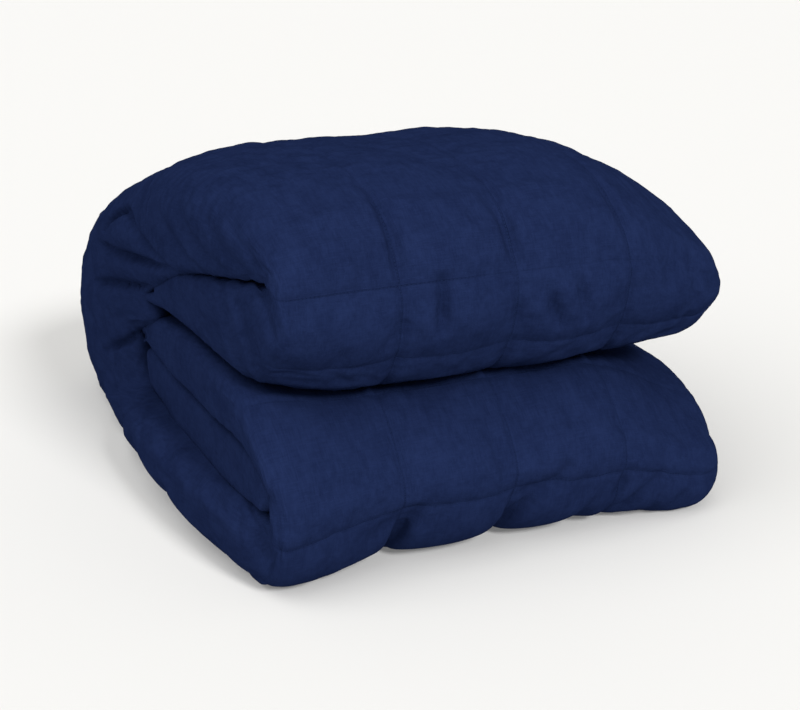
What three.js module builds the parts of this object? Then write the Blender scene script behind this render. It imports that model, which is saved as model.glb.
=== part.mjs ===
// A quilted weighted blanket, folded for the shelf: one filled, stitched cloth, one closed solid.
//
// The flat blanket is first folded in thirds across its width, so every layer of the stack is three
// plies: a two-ply fold and a single hem on the left, one round fold over all three on the right.
// Both short ends are then turned inwards, and the strip is folded in half like a book. Four layers
// lie on each other in two bundles, with their rolled folds at the front and the spine at the back.
//
// Units are millimetres. X runs along the front, Y runs back towards the spine, Z is up. The origin
// is the middle of the footprint, on the surface that the blanket lies on.

import * as THREE from "three";
import { mergeVertices } from "three/addons/utils/BufferGeometryUtils.js";

// ---------------------------------------------------------------- driving dimensions

const ROW_PITCH = 99;            // from one cross seam to the next, along the cloth
const SEAM_LINES_X = [-200, -98, -6, 90, 200];   // the long seams and the two folded sides
const PUFF_SHARPNESS = 0.55;     // below 1, pockets stay full almost up to their seams
const PLY_GAP = 1.0;             // half the slit between two plies
const RIGHT_FOLD_DEPTH = 36;     // how far the right-hand fold takes to round off
const HEM_DEPTH = 8;             // how far a single hem takes to round off
const END_ROUNDING = 0.1;        // how far a short hem takes to round off, in rows of the tables
const END_PINCH = 0.4;           // how much thinner the layer is on a short hem
const END_PLY_GAP = 2.5;         // half the slit between two plies on a short hem
const LEFT_BLEND = [-110, -203]; // x where the middle section starts and ends turning into the left one
const RIGHT_BLEND = [70, 203];   // the same towards the right
const CENTRING = { x: 9.2, y: 5.3 };   // brings the middle of the footprint to the origin
const SLIT_INSET = 10;           // how far a slit stays off the fold that closes it
const SLIT_TIP = 6;              // how long the pointed end of a slit is
const INNER_HEM_INSET = 30;      // how far the hidden hem stays off the right-hand fold
const KNEES_X = [-140, -108, 100];   // where the hidden plies get rows of points between their ends
const ROUND = 2;                 // the flatness of a half circle
const STEPS_PER_ROW = 100;       // how finely the path is measured
const DIRECTION_STEP = 0.02;     // how far apart two places are that give the path's direction, in rows
const SHORTEST_LAST_ROW = 0.3;   // a last pocket shorter than this part of a row is left out
const MIDDLE_DEPTH = 0.5;        // halfway between the outer skin and the inner one
const KNEES_BACK = KNEES_X.toReversed();

// Fractions of a pocket at which the cloth is sampled, along the path and across it.
const ALONG_POCKET = [0, 0.16, 0.5, 0.84];
const ACROSS_POCKET = [0, 0.17, 0.83];

// Parts of a turn at which each fold and the single hem are sampled.
const RIGHT_TURNS = [0.12, 0.3, 0.5, 0.7, 0.88];
const LEFT_TURNS = [0.88, 0.72, 0.5, 0.28, 0.12];
const HEM_TURNS = [0.3, 0.7];

// The section through the middle, a row for each run or bend of the fold path. It starts at the end
// tucked into the bottom bundle and finishes at the end tucked into the top one.
// outer: the skin that shows.  inner: the skin inside the fold.  puff: how far a pocket stands out.
// cross: how deep a cross seam sinks beside the long seams.
const PATH_COLUMNS = ["outerY", "outerZ", "innerY", "innerZ", "puff", "cross"];
const PATH = [
  [50, 132, 50, 83, 0, 1],          //  0 bottom bundle, tucked end
  [-60, 132, -60, 80, 1, 1],        //  1 bottom bundle, upper layer
  [-165, 131, -165, 80, 1.5, 0.8],  //  2
  [-235, 127, -190, 79.5, 5, 0.6],  //  3 first cross seam in the mouth
  [-278, 88, -196, 79, 7, 0.5],     //  4 bottom front fold
  [-283, 57, -196, 77, 7, 0.5],     //  5 cross seam low on the front
  [-239, 14, -190, 76.5, 11, 0.6],  //  6
  [-150, 5, -150, 76, 12, 1],       //  7 bottom bundle, lower layer
  [0, 5, 0, 76, 12, 1],             //  8
  [150, 5, 50, 76, 12, 1],          //  9
  [238, 10, 70, 81, 8, 0.8],        // 10 spine
  [269, 50, 73, 97, 12, 0.7],       // 11
  [271, 118, 74, 118, 12, 0.7],     // 12
  [239, 184, 73, 142, 8, 0.7],      // 13
  [151, 232, 66, 174, 7, 0.6],      // 14
  [36, 266, 25, 194, 7, 0.5],       // 15 top bundle, upper layer
  [-70, 286, -80, 206, 6, 0.4],     // 16
  [-180, 287, -170, 211, 7, 0.3],   // 17
  [-252, 263, -196, 211, 8, 0.3],   // 18 top front fold
  [-278, 224, -202, 210.5, 9, 0.5], // 19 cross seam in the middle of the front
  [-278, 197, -202, 208.5, 9, 0.6], // 20
  [-268, 169, -196, 208, 8, 0.4],   // 21 cross seam low on the front
  [-224, 140, -160, 207, 5, 0.8],   // 22 top bundle, lower layer
  [-90, 139, -60, 198, 1, 1],       // 23
  [12, 141, 12, 187, 0, 1],         // 24 top bundle, tucked end
];

// How the left-hand end of each row differs from the middle. edge: x of the outermost point. pullY and
// pullZ: how far the outer skin moves there.  inY and inZ: how far the inner skin does.  foldShare: the
// part of the layer that the two-ply fold takes.  foldDepth: how far it takes to round off.
// hemInset: how far the single hem sits in.
const LEFT_COLUMNS = ["edge", "pullY", "pullZ", "inY", "inZ", "foldShare", "foldDepth", "hemInset"];
const LEFT = [
  [-196, 0, -4, 0, -12, 0.42, 14, 3],       //  0 bottom bundle, tucked end
  [-204, 0, 12, 0, -12, 0.5, 20, 4],        //  1
  [-206, 0, 13, -3, -12, 0.5, 22, 4],       //  2
  [-204, 0, 4, -50, -11, 0.46, 16, 4],      //  3
  [-200, -3, 0, -54, -11, 0.46, 12, 5],     //  4
  [-200, -4, -11, -50, -12, 0.75, 14, 14],  //  5
  [-209, -10, -8, -46, -12, 0.94, 22, 30],  //  6
  [-221, 0, 0, -8, -12, 0.94, 28, 36],      //  7
  [-224.4, 0, 0, -30, -14, 0.94, 28, 36],   //  8
  [-216, 0, 0, -34, -15, 0.94, 28, 36],     //  9
  [-209, -4, 0, -22, -11, 0.94, 28, 36],    // 10
  [-208, -3, -5, -14, -6, 0.94, 28, 36],    // 11
  [-210, -3, -18, -18, -4, 0.94, 28, 36],   // 12
  [-212, -5, -30, -32, -6, 0.94, 28, 36],   // 13
  [-212, -8, -27, -48, -10, 0.94, 28, 36],  // 14
  [-211, -5, -17, -46, -12, 0.94, 32, 36],  // 15
  [-212, 0, -12, -18, -1, 0.94, 32, 36],    // 16
  [-206, 0, -6, -8, 7, 0.94, 28, 36],       // 17
  [-195, 0, -6, -50, 17, 0.94, 16, 36],     // 18
  [-191, -3, 0, -56, 18, 0.94, 14, 36],     // 19
  [-191, 0, -2, -56, 17, 0.94, 14, 36],     // 20
  [-196, 8, 4, -42, 16, 0.94, 18, 36],      // 21
  [-203, 12, 14, -12, 6, 0.94, 24, 36],     // 22
  [-205, 0, 14, -20, -5, 0.94, 22, 36],     // 23
  [-204, 0, 6, 0, -22, 0.8, 14, 30],        // 24 top bundle, tucked end
];

// The same for the right-hand end, where one round fold goes over all three plies.
const RIGHT_COLUMNS = ["edge", "pullY", "pullZ", "inZ"];
const RIGHT = [
  [198, 0, -20, -10],   //  0 bottom bundle, tucked end
  [204, 0, -25, -12],   //  1
  [206, 15, -33, -14],  //  2
  [204, 22, -47, -14],  //  3
  [203, 26, -31, -14],  //  4
  [204, 9, -25, -14],   //  5
  [204, -14, -11, -14], //  6
  [206, 0, 0, -14],     //  7
  [206, 0, 0, -12],     //  8
  [206, 0, 0, -10],     //  9
  [206, -8, 0, -6],     // 10
  [206, -12, -5, -4],   // 11
  [206, -18, -13, -4],  // 12
  [206, -21, -22, -8],  // 13
  [206, -15, -24, -16], // 14
  [206, -5, -27, -22],  // 15
  [206, -10, -36, -26], // 16
  [203, 15, -49, -28],  // 17
  [201, 25, -48, -28],  // 18
  [200, 25, -32, -28],  // 19
  [201, 27, -18, -28],  // 20
  [201, 28, 0, -28],    // 21
  [201, 30, 8, -28],    // 22
  [202, 0, 0, -26],     // 23
  [198, 0, -4, -20],    // 24
];

// Rows of the tables above that lie on a cross seam which shows.
const MOUTH_SEAM = 3;
const LOWER_FRONT_SEAM = 5;
const UPPER_FRONT_SEAM = 19;
const UNDER_FRONT_SEAM = 21;
const LAST_ROW = PATH.length - 1;

// ---------------------------------------------------------------- helpers

/** Reads one column of a table at any station, on a smooth curve through its rows. */
function readColumn(table, columns, name, station) {
  const column = columns.indexOf(name);
  const row = Math.min(Math.floor(station), LAST_ROW - 1);
  const t = station - row;
  const value = (offset) => table[Math.min(Math.max(row + offset, 0), LAST_ROW)][column];
  const [before, here, next, after] = [value(-1), value(0), value(1), value(2)];
  const slope = next - before;
  const bend = 2 * before - 5 * here + 4 * next - after;
  const twist = 3 * here - before - 3 * next + after;
  return 0.5 * (2 * here + slope * t + bend * t * t + twist * t * t * t);
}

const path = (name, station) => readColumn(PATH, PATH_COLUMNS, name, station);
const leftEnd = (name, station) => readColumn(LEFT, LEFT_COLUMNS, name, station);
const rightEnd = (name, station) => readColumn(RIGHT, RIGHT_COLUMNS, name, station);

/** Goes smoothly from 0 at the first x to 1 at the second. */
function blend([from, to], x) {
  return THREE.MathUtils.smoothstep((x - from) / (to - from), 0, 1);
}

/** Linear interpolation of one sorted list against another. */
function lookUp(x, xs, ys) {
  let i = 1;
  while (i < xs.length - 1 && x > xs[i]) {
    i += 1;
  }
  const t = THREE.MathUtils.clamp((x - xs[i - 1]) / (xs[i] - xs[i - 1]), 0, 1);
  return ys[i - 1] + t * (ys[i] - ys[i - 1]);
}

// ---------------------------------------------------------------- where the cross seams lie

/** Arc length of the outer skin's middle line up to each of many stations. */
function measurePath() {
  const steps = STEPS_PER_ROW * LAST_ROW;
  const stations = [0];
  const lengths = [0];
  let last = new THREE.Vector2(path("outerY", 0), path("outerZ", 0));
  for (let i = 1; i <= steps; i += 1) {
    const station = (i / steps) * LAST_ROW;
    const point = new THREE.Vector2(path("outerY", station), path("outerZ", station));
    stations.push(station);
    lengths.push(lengths[i - 1] + point.distanceTo(last));
    last = point;
  }
  return { stations, lengths };
}

/** Stations of all cross seams: four are set by the table, and the rest follow at the row pitch. */
function placeCrossSeams() {
  const { stations, lengths } = measurePath();
  const lengthAt = (station) => lookUp(station, stations, lengths);
  const stationAt = (length) => lookUp(length, lengths, stations);
  const seams = [0];
  const first = lengthAt(MOUTH_SEAM);
  const hiddenRows = Math.floor(first / ROW_PITCH);
  for (let k = hiddenRows; k >= 1; k -= 1) {
    seams.push(stationAt(first - k * ROW_PITCH));
  }
  seams.push(MOUTH_SEAM);
  const from = lengthAt(LOWER_FRONT_SEAM);
  const to = lengthAt(UPPER_FRONT_SEAM);
  const rows = Math.round((to - from) / ROW_PITCH);
  for (let k = 0; k <= rows; k += 1) {
    seams.push(stationAt(from + ((to - from) * k) / rows));
  }
  seams.push(UNDER_FRONT_SEAM);
  const last = lengthAt(UNDER_FRONT_SEAM);
  const total = lengthAt(LAST_ROW);
  for (let k = 1; last + (k + SHORTEST_LAST_ROW) * ROW_PITCH < total; k += 1) {
    seams.push(stationAt(last + k * ROW_PITCH));
  }
  seams.push(LAST_ROW);
  return seams;
}

const CROSS_SEAMS = placeCrossSeams();

// ---------------------------------------------------------------- the skins of one layer

/** How full the cloth is at a place: 0 on a long seam, 1 in the middle of a pocket. */
function fullness(station, x) {
  const row = lookUp(station, CROSS_SEAMS, CROSS_SEAMS.map((_, i) => i));
  const column = lookUp(x, SEAM_LINES_X, SEAM_LINES_X.map((_, i) => i));
  const across = Math.abs(Math.sin(Math.PI * column)) ** PUFF_SHARPNESS;
  const along = Math.abs(Math.sin(Math.PI * row)) ** PUFF_SHARPNESS;
  return across * (1 - path("cross", station) * (1 - along));
}

/** Goes from 1 on a short hem of the blanket to 0 a little way in. */
function nearEnd(station) {
  return Math.max(0, 1 - Math.min(station, LAST_ROW - station) / END_ROUNDING);
}

/** The outer skin without its pockets, in the section at x. */
function smoothOuter(station, x) {
  const left = blend(LEFT_BLEND, x);
  const right = blend(RIGHT_BLEND, x);
  const pullY = left * leftEnd("pullY", station) + right * rightEnd("pullY", station);
  const pullZ = left * leftEnd("pullZ", station) + right * rightEnd("pullZ", station);
  return new THREE.Vector2(path("outerY", station) + pullY, path("outerZ", station) + pullZ);
}

/** The inner skin, in the section at x. */
function innerSkin(station, x) {
  const left = blend(LEFT_BLEND, x);
  const right = blend(RIGHT_BLEND, x);
  const y = path("innerY", station) + left * leftEnd("inY", station);
  const z = path("innerZ", station) + left * leftEnd("inZ", station) + right * rightEnd("inZ", station);
  return new THREE.Vector2(y, z);
}

/** The outer skin with its pockets, pressed flat where it lies on the surface. Deeper in the layer
 *  the pockets fade out, so the plies there are smoother. */
function outerSkin(station, x, depth) {
  const here = smoothOuter(station, x);
  const ahead = smoothOuter(Math.min(station + DIRECTION_STEP, LAST_ROW), x);
  const behind = smoothOuter(Math.max(station - DIRECTION_STEP, 0), x);
  const along = ahead.sub(behind).normalize();
  const outwards = new THREE.Vector2(along.y, -along.x);
  if (outwards.dot(here.clone().sub(innerSkin(station, x))) < 0) {
    outwards.negate();
  }
  const puff = path("puff", station) * fullness(station, x) * (1 - depth) ** 2;
  const skin = here.addScaledVector(outwards, puff);
  skin.y = Math.max(skin.y, 0);
  return skin;
}

/** A point of the layer: depth 0 is on the outer skin and 1 is on the inner one. */
function layerPoint(station, x, depth) {
  const pinched = THREE.MathUtils.lerp(depth, MIDDLE_DEPTH, END_PINCH * nearEnd(station));
  const point = outerSkin(station, x, depth).lerp(innerSkin(station, x), pinched);
  return new THREE.Vector3(x + CENTRING.x, point.x + CENTRING.y, point.y);
}

// ---------------------------------------------------------------- the three plies of one layer

/** How far round a fold reaches out: 0 at both skins, 1 in the middle. A flatness of 2 is a half
 *  circle, and a larger one is a flat side with two round corners. */
function roundOff(turn, flatness) {
  return Math.sqrt(1 - Math.abs(Math.cos(Math.PI * turn)) ** flatness);
}

/** Places [x, depth] round the three-ply section at one station, as one closed loop. */
function plyLoop(station) {
  const thickness = smoothOuter(station, 0).distanceTo(innerSkin(station, 0));
  const gap = THREE.MathUtils.lerp(PLY_GAP, END_PLY_GAP, nearEnd(station)) / thickness;
  const foldDepth = leftEnd("foldDepth", station);
  const leftStart = leftEnd("edge", station) + foldDepth;
  const rightStop = rightEnd("edge", station) - RIGHT_FOLD_DEPTH;
  const foldShare = leftEnd("foldShare", station);
  const hem = leftEnd("edge", station) + leftEnd("hemInset", station);
  const between = foldShare / 2;
  const slitEnd = rightStop - SLIT_INSET;
  const innerHem = rightStop - INNER_HEM_INSET;
  const foldInside = leftStart + SLIT_INSET;
  const loop = [];

  // the skin that shows, from the left fold to the right one
  const [firstSeam, lastSeam] = [SEAM_LINES_X[0], SEAM_LINES_X.at(-1)];
  for (let column = 0; column < SEAM_LINES_X.length - 1; column += 1) {
    for (const t of ACROSS_POCKET) {
      const x = THREE.MathUtils.lerp(SEAM_LINES_X[column], SEAM_LINES_X[column + 1], t);
      const place = (x - firstSeam) / (lastSeam - firstSeam);
      loop.push([x > leftStart && x < rightStop ? x : leftStart + place * (rightStop - leftStart), 0]);
    }
  }
  loop.push([rightStop, 0]);

  // the right-hand fold, round all three plies
  const rightFlatness = Math.max(ROUND, thickness / RIGHT_FOLD_DEPTH);
  for (const turn of RIGHT_TURNS) {
    const depth = (1 - Math.cos(Math.PI * turn)) / 2;
    loop.push([rightStop + RIGHT_FOLD_DEPTH * roundOff(turn, rightFlatness), depth]);
  }

  // the inner skin, back to the single hem on the left
  loop.push(...[rightStop, ...KNEES_BACK, hem + HEM_DEPTH].map((x) => [x, 1]));
  for (const t of HEM_TURNS) {
    loop.push([hem, THREE.MathUtils.lerp(1, foldShare + gap, t)]);
  }

  // the slit between the third ply and the second, out to the right-hand fold
  loop.push(...[hem + HEM_DEPTH, ...KNEES_X, innerHem, slitEnd].map((x) => [x, foldShare + gap]));
  loop.push([slitEnd + SLIT_TIP, (between + foldShare) / 2]);

  // the slit between the second ply and the first, in to the left-hand fold
  loop.push(...[slitEnd, innerHem, ...KNEES_BACK, foldInside].map((x) => [x, between - gap]));
  loop.push([foldInside - SLIT_TIP, between]);

  // the second ply: its lower side, its hem near the right, and its upper side
  loop.push(...[foldInside, ...KNEES_X, innerHem].map((x) => [x, between + gap]));
  loop.push([innerHem + SLIT_TIP, (between + foldShare) / 2]);
  loop.push(...[innerHem, ...KNEES_BACK, leftStart].map((x) => [x, foldShare - gap]));

  // the left-hand fold, round the first two plies
  const flatness = Math.max(ROUND, (thickness * foldShare) / foldDepth);
  for (const turn of LEFT_TURNS) {
    const depth = ((foldShare - gap) * (1 - Math.cos(Math.PI * turn))) / 2;
    loop.push([leftStart - foldDepth * roundOff(turn, flatness), depth]);
  }
  return loop;
}

// ---------------------------------------------------------------- the solid

/** Stations at which a section is taken: some in every row of pockets, and the two ends. */
function sectionStations() {
  const stations = [END_ROUNDING, LAST_ROW - END_ROUNDING, LAST_ROW];
  for (let row = 0; row < CROSS_SEAMS.length - 1; row += 1) {
    for (const t of ALONG_POCKET) {
      stations.push(THREE.MathUtils.lerp(CROSS_SEAMS[row], CROSS_SEAMS[row + 1], t));
    }
  }
  return stations.sort((a, b) => a - b);
}

/** Joins the sections into one closed body, its faces pointing out. */
function blanketGeometry() {
  const stations = sectionStations();
  const loops = stations.map(plyLoop);
  const size = loops[0].length;
  const positions = [];
  stations.forEach((station, i) => {
    for (const [x, depth] of loops[i]) {
      positions.push(...layerPoint(station, x, depth).toArray());
    }
  });

  const indices = [];
  for (let i = 0; i < stations.length - 1; i += 1) {
    for (let j = 0; j < size; j += 1) {
      const next = (j + 1) % size;
      const [a, b] = [i * size + j, i * size + next];
      const [c, d] = [a + size, b + size];
      indices.push(a, d, b, a, c, d);
    }
  }

  // the two short hems, each a flat cut through the three plies
  for (const end of [0, stations.length - 1]) {
    const outline = loops[end].map(([x, depth]) => {
      const point = layerPoint(stations[end], x, depth);
      return new THREE.Vector2(point.x, point.z);
    });
    const base = end * size;
    for (const [a, b, c] of THREE.ShapeUtils.triangulateShape(outline, [])) {
      indices.push(base + a, base + c, base + b);
    }
  }

  const geometry = new THREE.BufferGeometry();
  geometry.setAttribute("position", new THREE.Float32BufferAttribute(positions, 3));
  geometry.setIndex(indices);
  const merged = mergeVertices(geometry);
  merged.computeVertexNormals();
  return merged;
}

// ---------------------------------------------------------------- the part

const navyCloth = new THREE.MeshStandardMaterial({ color: 0x1f2c54, roughness: 0.9, metalness: 0 });
const blanket = new THREE.Mesh(blanketGeometry(), navyCloth);
blanket.name = "blanket";

const foldedBlanket = new THREE.Group();
foldedBlanket.add(blanket);

export default foldedBlanket;
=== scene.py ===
"""Folded quilted weighted blanket: the finished look of the part.

The blanket is one filled, stitched cloth. It is folded in thirds across its width, both short ends
are turned inwards, and the strip is then folded in half like a book. Its form is a sweep: a section
of three plies runs along the fold path, and every pocket of the quilting stands out from it.

Lengths in the tables are millimetres. X runs along the front, Y runs back to the spine, Z is up.
"""

from __future__ import annotations

import logging
import math
from dataclasses import dataclass, field
from enum import Enum

import bpy
import numpy as np
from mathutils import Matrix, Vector
from mathutils.geometry import tessellate_polygon

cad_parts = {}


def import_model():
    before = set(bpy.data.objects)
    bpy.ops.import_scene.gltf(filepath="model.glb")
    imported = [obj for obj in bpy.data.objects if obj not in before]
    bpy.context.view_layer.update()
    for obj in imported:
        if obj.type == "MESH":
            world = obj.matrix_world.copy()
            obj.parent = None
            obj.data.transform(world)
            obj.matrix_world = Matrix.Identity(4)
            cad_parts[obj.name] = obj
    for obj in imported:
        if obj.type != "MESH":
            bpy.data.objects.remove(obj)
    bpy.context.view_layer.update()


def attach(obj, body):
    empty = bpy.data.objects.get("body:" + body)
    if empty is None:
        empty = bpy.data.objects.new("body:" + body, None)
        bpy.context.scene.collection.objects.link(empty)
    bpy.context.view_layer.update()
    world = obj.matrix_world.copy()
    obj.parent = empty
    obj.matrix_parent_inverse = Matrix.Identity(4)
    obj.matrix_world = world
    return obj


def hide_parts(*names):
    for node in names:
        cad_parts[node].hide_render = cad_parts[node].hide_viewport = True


LOG = logging.getLogger("blanket")
Socket = bpy.types.NodeSocket
MM = 0.001
SHIFT = np.array([9.2, 5.3, 0.0])  # brings the middle of the footprint to the origin
POCKET_ON_MAP = 0.1  # the side of a pocket on the map of the flat cloth, in metres
HIDDEN, IN_SLIT, SHOWN = 0.0, 0.6, 1.0  # how much a place round the section shows
WORKED = 0.3  # places that show more than this get the needlework
FREE = 0.9  # only places that show more than this may swell
SEAM_COLUMNS = (0.5, 3.5)  # the long seams lie between these columns
FAR = 9.0  # stands for no seam near, in pockets


class Creasing(Enum):
    """Which way a crease moves the cloth."""

    TROUGH = -1.0
    RIDGE = 1.0


@dataclass(frozen=True)
class Table:
    """Rows of numbers with named columns, read on a smooth curve through the rows."""

    columns: tuple[str, ...]
    rows: tuple[tuple[float, ...], ...]

    @property
    def last(self) -> int:
        """The number of the last row."""
        return len(self.rows) - 1

    def read(self, name: str, station: np.ndarray) -> np.ndarray:
        """Read one column at any stations.

        Args:
            name: The column's name.
            station: Places between the rows; row 3 is station 3.

        Returns:
            The column's values there, in the shape of the stations.
        """
        values = np.array([row[self.columns.index(name)] for row in self.rows], float)
        row = np.clip(np.floor(station).astype(int), 0, self.last - 1)
        t = station - row
        before, here, after, later = (values[np.clip(row + k, 0, self.last)] for k in (-1, 0, 1, 2))
        slope = after - before
        bend = 2 * before - 5 * here + 4 * after - later
        twist = 3 * here - before - 3 * after + later
        return 0.5 * (2 * here + slope * t + bend * t**2 + twist * t**3)


# The section through the middle, a row for each run or bend of the fold path. Outer is the skin that
# shows and inner is the skin inside the fold. Puff is how far a pocket stands out, cross is how deep a
# cross seam sinks beside the long seams, and line is how plainly the stitched lines show.
PATH = Table(
    ("outer_y", "outer_z", "inner_y", "inner_z", "puff", "cross", "line"),
    (
        (50, 132, 50, 83, 0, 1.0, 0),  # 0 bottom bundle, tucked end
        (-60, 132, -60, 80, 0.5, 1.0, 0.2),  # 1 bottom bundle, upper layer
        (-165, 133, -165, 80, 1, 0.6, 0.4),  # 2
        (-235, 130, -190, 79.5, 3, 0.3, 0.6),  # 3 first cross seam in the mouth
        (-278, 88, -196, 79, 5.5, 0.4, 0.8),  # 4 bottom front fold
        (-283, 57, -196, 77, 6, 0.4, 1.0),  # 5 cross seam low on the front
        (-240, 12.5, -190, 76.5, 8, 0.4, 0.9),  # 6
        (-150, 5, -150, 76, 8, 1.0, 0.8),  # 7 bottom bundle, lower layer
        (0, 5, 0, 76, 8, 1.0, 0.8),  # 8
        (150, 5, 50, 76, 8, 1.0, 0.8),  # 9
        (238, 10, 70, 81, 5, 0.8, 0.7),  # 10 spine
        (269, 50, 73, 97, 5, 0.6, 0.6),  # 11
        (271, 118, 74, 118, 5, 0.6, 0.5),  # 12
        (239, 184, 73, 142, 5, 0.6, 0.4),  # 13
        (151, 232, 66, 174, 4, 0.4, 0.3),  # 14
        (36, 266, 25, 194, 3.5, 0.12, 0.25),  # 15 top bundle, upper layer
        (-70, 286, -80, 206, 3, 0.1, 0.2),  # 16
        (-180, 287, -170, 211, 3.5, 0.05, 0.4),  # 17
        (-252, 263, -196, 211, 5, 0.15, 0.9),  # 18 top front fold
        (-278, 224, -202, 210.5, 6, 0.4, 1.0),  # 19 cross seam in the middle of the front
        (-278, 197, -202, 208.5, 6, 0.4, 1.0),  # 20
        (-268, 169, -196, 208, 6, 0.15, 1.0),  # 21 cross seam low on the front
        (-225, 139, -160, 207, 4.5, 0.8, 0.6),  # 22 top bundle, lower layer
        (-90, 139, -60, 198, 1, 1.0, 0.3),  # 23
        (50, 142, 50, 176, 0, 1.0, 0),  # 24 top bundle, tucked end
    ),
)

# How both ends of each row differ from the middle. Edge is x of the outermost point. Pull is how far
# the outer skin moves there, and in_y and in_z are how far the inner one does. Share is the part of
# the layer that the left-hand two-ply fold takes, depth is how far it rounds off, and inset is how
# far the single hem sits in. Square is 2 where the fold is round on its outer side, and more where it
# is squarer.
LEFT = Table(
    ("edge", "pull_y", "pull_z", "in_y", "in_z", "share", "depth", "inset", "square"),
    (
        (-199, -6, -4, -20, -15, 0.42, 12, 2, 4),  # 0 bottom bundle, tucked end
        (-205, 0, 16, 0, -15, 0.53, 16, 3, 4),
        (-207, 0, 18, -3, -15, 0.53, 18, 3, 4),
        (-205, 0, 7, -60, -13, 0.48, 14, 3, 3),  # 3 mouth
        (-200, -5, 0, -70, -12, 0.40, 11, 3, 2.6),
        (-200, -8, -11, -70, -11, 0.80, 12, 30, 2.6),  # 5
        (-209, -10, -8, -50, -7, 0.97, 20, 60, 2.4),
        (-221, 0, 0, -8, -4, 0.97, 26, 60, 2.4),
        (-225, 0, 0, -40, -6, 0.97, 28, 60, 2.6),  # 8
        (-213, 0, 0, -44, -9, 0.97, 28, 60, 2.4),
        (-208, -4, 0, -42, -9, 0.97, 28, 60, 2.3),  # 10 spine
        (-209, -3, -5, -36, -5, 0.97, 28, 60, 2.4),
        (-211, -3, -18, -46, -3, 0.97, 28, 60, 2.4),
        (-211, -5, -30, -98, -4, 0.97, 28, 60, 2.4),
        (-212, -8, -27, -76, -18, 0.97, 28, 60, 2.2),
        (-211, -5, -18, -66, -27, 0.97, 32, 60, 2),  # 15
        (-211, 0, -13, -22, -10, 0.97, 32, 60, 2),
        (-206, 0, -6, -8, 3, 0.97, 28, 60, 2),
        (-195, 0, -6, -54, 17, 0.97, 14, 60, 2.2),
        (-191, -3, 0, -64, 19, 0.97, 10, 60, 2.4),  # 19
        (-191, 0, -2, -64, 21, 0.97, 10, 60, 2.6),
        (-196, 8, 4, -44, 22, 0.97, 16, 60, 3),
        (-203, 12, 14, -12, 11, 0.97, 24, 60, 3.4),  # 22
        (-205, 0, 15, -20, 0, 0.97, 22, 60, 3.4),
        (-206, -52, 10, -52, -14, 0.97, 12, 60, 3),  # 24 top bundle, tucked end
    ),
)
RIGHT = Table(
    ("edge", "pull_y", "pull_z", "in_z"),
    (
        (198, 0, -20, -10),  # 0
        (204, 0, -25, -12),
        (206, 15, -33, -14),
        (204, 22, -48, -14),
        (201, 26, -32, -14),
        (200, 10, -25, -14),  # 5
        (201, -10, -10, -14),
        (206, 0, 0, -14),
        (206, 0, 0, -12),
        (206, 0, 0, -10),
        (206, -8, 0, -6),  # 10
        (206, -12, -5, -4),
        (206, -18, -13, -4),
        (206, -21, -22, -8),
        (206, -15, -24, -16),
        (206, -5, -27, -22),  # 15
        (206, -10, -36, -26),
        (202, 15, -49, -28),
        (200, 25, -48, -28),
        (199, 25, -32, -28),
        (200, 26, -19, -28),  # 20
        (200, 25, -5, -28),
        (200, 18, 3, -28),
        (202, 0, 0, -26),
        (198, 0, -4, -14),  # 24
    ),
)


def blend(edges: tuple[float, float], x: np.ndarray) -> np.ndarray:
    """Go smoothly from 0 at the first x to 1 at the second.

    Args:
        edges: The two x values, in either order.
        x: Where to read it.

    Returns:
        Values from 0 to 1.
    """
    t = np.clip((x - edges[0]) / (edges[1] - edges[0]), 0, 1)
    return t * t * (3 - 2 * t)


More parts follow.
